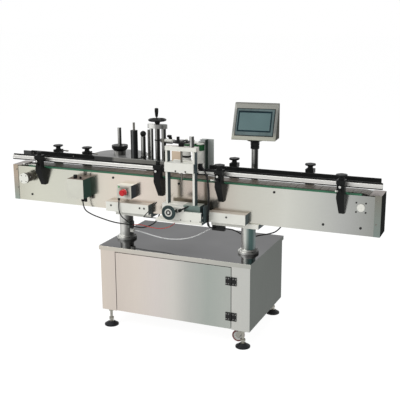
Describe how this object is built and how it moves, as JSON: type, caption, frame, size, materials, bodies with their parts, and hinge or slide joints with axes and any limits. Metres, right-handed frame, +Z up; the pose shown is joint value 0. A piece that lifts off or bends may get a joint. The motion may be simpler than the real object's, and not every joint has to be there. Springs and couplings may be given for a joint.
{
  "type": "sticker labeling machine",
  "caption": "Conveyor line that labels round bottles: cabinet on feet, slat conveyor, guide rails, wrap station, liftable label head and swivel screen.",
  "frame": {"origin": "on the floor under the middle of the bounding box, free cables left out", "axes": "+X along the conveyor in its running direction, +Y away from the operator, +Z up"},
  "size_m": [2, 0.6, 1.1666],
  "materials": {
    "cabinet_steel": "brushed stainless sheet",
    "mirror_plate": "mirror-polished stainless sheet",
    "zinc": "zinc-plated",
    "hinge_black": "black",
    "column_steel": "satin tube and white-grey blocks",
    "panel_steel": "polished stainless sheet",
    "strip_green": "satin low-friction plastic",
    "chain_grey": "satin acetal slats",
    "anodised": "satin anodised",
    "black_plastic": "moulded nylon",
    "red_plastic": "gloss",
    "green_rubber": "matte green cover",
    "black_rubber": "ground rubber",
    "chrome_rod": "ground and polished",
    "caster_tread": "polyurethane tread",
    "box_grey": "satin grey",
    "cable_black": "matte PVC",
    "wire_red": "matte PVC",
    "tube_clear": "translucent polyurethane"
  },
  "bodies": {
    "stand": {"cabinet_shell": "cabinet_steel", "cabinet_top": "mirror_plate", "levelling_feet": "zinc", "door_hinges": "hinge_black", "support_columns": "column_steel", "electrical_plate": "box_grey", "side_panels": "panel_steel", "cross_bars": "zinc", "end_caps": "panel_steel", "wear_strips": "strip_green", "slat_chain": "chain_grey", "shaft_bearings": "box_grey", "drive_gearmotor": "box_grey", "rail_brackets": "black_plastic", "control_box": "box_grey", "stop_box": "box_grey", "panel_pole": "chrome_rod", "wrap_base": "anodised", "belt_unit_frame": "anodised", "wrap_belt": "green_rubber", "head_support": "chrome_rod", "cable_fittings": "black_plastic", "box_cable": "cable_black", "stop_cable": "cable_black", "red_wire": "wire_red", "air_tube": "tube_clear", "belt_cable": "cable_black", "link_cable": "cable_black"},
    "door": {"cabinet_door": "cabinet_steel"},
    "caster_fork_front": {"caster_fork_front": "zinc"},
    "caster_wheel_front": {"caster_wheel_front": "caster_tread"},
    "caster_fork_rear": {"caster_fork_rear": "zinc"},
    "caster_wheel_rear": {"caster_wheel_rear": "caster_tread"},
    "drive_shaft": {"drive_shaft": "chrome_rod"},
    "idler_shaft": {"idler_shaft": "chrome_rod"},
    "front_rail_left": {"front_rail_left": "anodised"},
    "front_rail_right": {"front_rail_right": "anodised"},
    "rear_rail_left": {"rear_rail_left": "anodised"},
    "rear_rail_right": {"rear_rail_right": "anodised"},
    "rail_knob_front_1": {"rail_knob_front_1": "black_plastic"},
    "rail_knob_front_2": {"rail_knob_front_2": "black_plastic"},
    "rail_knob_rear_1": {"rail_knob_rear_1": "black_plastic"},
    "rail_knob_rear_2": {"rail_knob_rear_2": "black_plastic"},
    "rail_knob_rear_3": {"rail_knob_rear_3": "black_plastic"},
    "rail_knob_rear_4": {"rail_knob_rear_4": "black_plastic"},
    "control_knob": {"control_knob": "black_plastic"},
    "stop_button": {"stop_button": "red_plastic"},
    "operator_panel": {"operator_panel": "panel_steel"},
    "wrap_carriage": {"wrap_carriage": "anodised"},
    "wrap_lift_wheel": {"wrap_lift_wheel": "black_plastic"},
    "wrap_block": {"wrap_block": "anodised"},
    "wrap_feed_wheel": {"wrap_feed_wheel": "black_plastic"},
    "wrap_clamp_lever": {"wrap_clamp_lever": "black_plastic"},
    "belt_drive_roller": {"belt_drive_roller": "anodised"},
    "belt_idler_roller": {"belt_idler_roller": "anodised"},
    "label_head": {"head_plate": "anodised"},
    "head_lift_wheel": {"head_lift_wheel": "chrome_rod"},
    "unwind_reel": {"unwind_reel": "anodised"},
    "rubber_roller": {"rubber_roller": "black_rubber"},
    "steel_roller": {"steel_roller": "chrome_rod"}
  },
  "joints": [
    {"name": "door_hinge", "type": "hinge", "parent": "stand", "child": "door", "pos_m": [0.322, -0.266, 0.2485], "axis": [0, 0, 1], "range_deg": [0, 110]},
    {"name": "caster_swivel_front", "type": "hinge", "parent": "stand", "child": "caster_fork_front", "pos_m": [0.3635, -0.2065, 0.08], "axis": [0, 0, 1], "range_deg": [-120, 30]},
    {"name": "caster_roll_front", "type": "hinge", "parent": "caster_fork_front", "child": "caster_wheel_front", "pos_m": [0.3415, -0.2065, 0.042], "axis": [0, 1, 0], "continuous": true},
    {"name": "caster_swivel_rear", "type": "hinge", "parent": "stand", "child": "caster_fork_rear", "pos_m": [0.3635, 0.1965, 0.08], "axis": [0, 0, 1], "range_deg": [-30, 120]},
    {"name": "caster_roll_rear", "type": "hinge", "parent": "caster_fork_rear", "child": "caster_wheel_rear", "pos_m": [0.3415, 0.1965, 0.042], "axis": [0, 1, 0], "continuous": true},
    {"name": "drive_turn", "type": "hinge", "parent": "stand", "child": "drive_shaft", "pos_m": [0.908, -0.088, 0.736], "axis": [0, 1, 0], "continuous": true},
    {"name": "idler_turn", "type": "hinge", "parent": "stand", "child": "idler_shaft", "pos_m": [-0.898, -0.088, 0.736], "axis": [0, 1, 0], "continuous": true},
    {"name": "front_rail_left_slide", "type": "slide", "parent": "stand", "child": "front_rail_left", "axis": [0, 1, 0], "range_m": [-0.01, 0.02]},
    {"name": "front_rail_right_slide", "type": "slide", "parent": "stand", "child": "front_rail_right", "axis": [0, 1, 0], "range_m": [-0.01, 0.02]},
    {"name": "rear_rail_left_slide", "type": "slide", "parent": "stand", "child": "rear_rail_left", "axis": [0, 1, 0], "range_m": [-0.02, 0.01]},
    {"name": "rear_rail_right_slide", "type": "slide", "parent": "stand", "child": "rear_rail_right", "axis": [0, 1, 0], "range_m": [-0.02, 0.01]},
    {"name": "rail_knob_front_1_turn", "type": "hinge", "parent": "stand", "child": "rail_knob_front_1", "pos_m": [0.228, -0.18, 0.88], "axis": [0, 0, 1], "range_deg": [0, 540]},
    {"name": "rail_knob_front_2_turn", "type": "hinge", "parent": "stand", "child": "rail_knob_front_2", "pos_m": [0.822, -0.18, 0.88], "axis": [0, 0, 1], "range_deg": [0, 540]},
    {"name": "rail_knob_rear_1_turn", "type": "hinge", "parent": "stand", "child": "rail_knob_rear_1", "pos_m": [-0.803, 0.004, 0.88], "axis": [0, 0, 1], "range_deg": [0, 540]},
    {"name": "rail_knob_rear_2_turn", "type": "hinge", "parent": "stand", "child": "rail_knob_rear_2", "pos_m": [-0.619, 0.004, 0.88], "axis": [0, 0, 1], "range_deg": [0, 540]},
    {"name": "rail_knob_rear_3_turn", "type": "hinge", "parent": "stand", "child": "rail_knob_rear_3", "pos_m": [0.236, 0.004, 0.88], "axis": [0, 0, 1], "range_deg": [0, 540]},
    {"name": "rail_knob_rear_4_turn", "type": "hinge", "parent": "stand", "child": "rail_knob_rear_4", "pos_m": [0.627, 0.004, 0.88], "axis": [0, 0, 1], "range_deg": [0, 540]},
    {"name": "control_knob_turn", "type": "hinge", "parent": "stand", "child": "control_knob", "pos_m": [-0.575, -0.194, 0.77], "axis": [0, 0, 1], "range_deg": [-45, 45]},
    {"name": "stop_button_press", "type": "slide", "parent": "stand", "child": "stop_button", "axis": [0, 1, 0], "range_m": [0, 0.008]},
    {"name": "operator_panel_swivel", "type": "hinge", "parent": "stand", "child": "operator_panel", "pos_m": [0.341, 0.012, 0.965], "axis": [0, 0, 1], "range_deg": [-90, 90]},
    {"name": "wrap_carriage_slide", "type": "slide", "parent": "stand", "child": "wrap_carriage", "axis": [0, 1, 0], "range_m": [-0.009, 0.02]},
    {"name": "wrap_feed_turn", "type": "hinge", "parent": "stand", "child": "wrap_feed_wheel", "pos_m": [0.008, -0.278, 0.66], "axis": [0, 1, 0], "range_deg": [-660, 1450]},
    {"name": "wrap_clamp_turn", "type": "hinge", "parent": "stand", "child": "wrap_clamp_lever", "pos_m": [0.057, -0.266, 0.669], "axis": [0, 1, 0], "range_deg": [-60, 60]},
    {"name": "wrap_block_slide", "type": "slide", "parent": "wrap_carriage", "child": "wrap_block", "axis": [0, 0, 1], "range_m": [-0.01, 0.04]},
    {"name": "wrap_lift_turn", "type": "hinge", "parent": "wrap_carriage", "child": "wrap_lift_wheel", "pos_m": [0.045, -0.216, 0.998], "axis": [0, 0, 1], "range_deg": [-730, 2890]},
    {"name": "belt_drive_turn", "type": "hinge", "parent": "stand", "child": "belt_drive_roller", "pos_m": [0.062, -0.018, 0.875], "axis": [0, 0, 1], "continuous": true},
    {"name": "belt_idler_turn", "type": "hinge", "parent": "stand", "child": "belt_idler_roller", "pos_m": [-0.016, -0.018, 0.875], "axis": [0, 0, 1], "continuous": true},
    {"name": "label_head_slide", "type": "slide", "parent": "stand", "child": "label_head", "axis": [0, 0, 1], "range_m": [-0.02, 0.06]},
    {"name": "head_lift_turn", "type": "hinge", "parent": "stand", "child": "head_lift_wheel", "pos_m": [-0.219, 0.062, 1.053], "axis": [0, 0, 1], "range_deg": [-1450, 4330]},
    {"name": "unwind_turn", "type": "hinge", "parent": "label_head", "child": "unwind_reel", "pos_m": [-0.495, 0.147, 0.85], "axis": [0, 0, 1], "continuous": true},
    {"name": "rubber_roller_turn", "type": "hinge", "parent": "label_head", "child": "rubber_roller", "pos_m": [-0.3475, 0.0405, 0.9], "axis": [0, 0, 1], "continuous": true},
    {"name": "steel_roller_turn", "type": "hinge", "parent": "label_head", "child": "steel_roller", "pos_m": [-0.294, 0.042, 0.9], "axis": [0, 0, 1], "continuous": true}
  ],
  "couplings": [
    {"joint": "idler_turn", "follows": "drive_turn", "ratio": 1},
    {"joint": "belt_drive_turn", "follows": "belt_idler_turn", "ratio": 1},
    {"joint": "wrap_feed_turn", "follows": "wrap_carriage_slide", "rad_per_m": 1256.6},
    {"joint": "wrap_lift_turn", "follows": "wrap_block_slide", "rad_per_m": 1256.6},
    {"joint": "head_lift_turn", "follows": "label_head_slide", "rad_per_m": 1256.6}
  ]
}
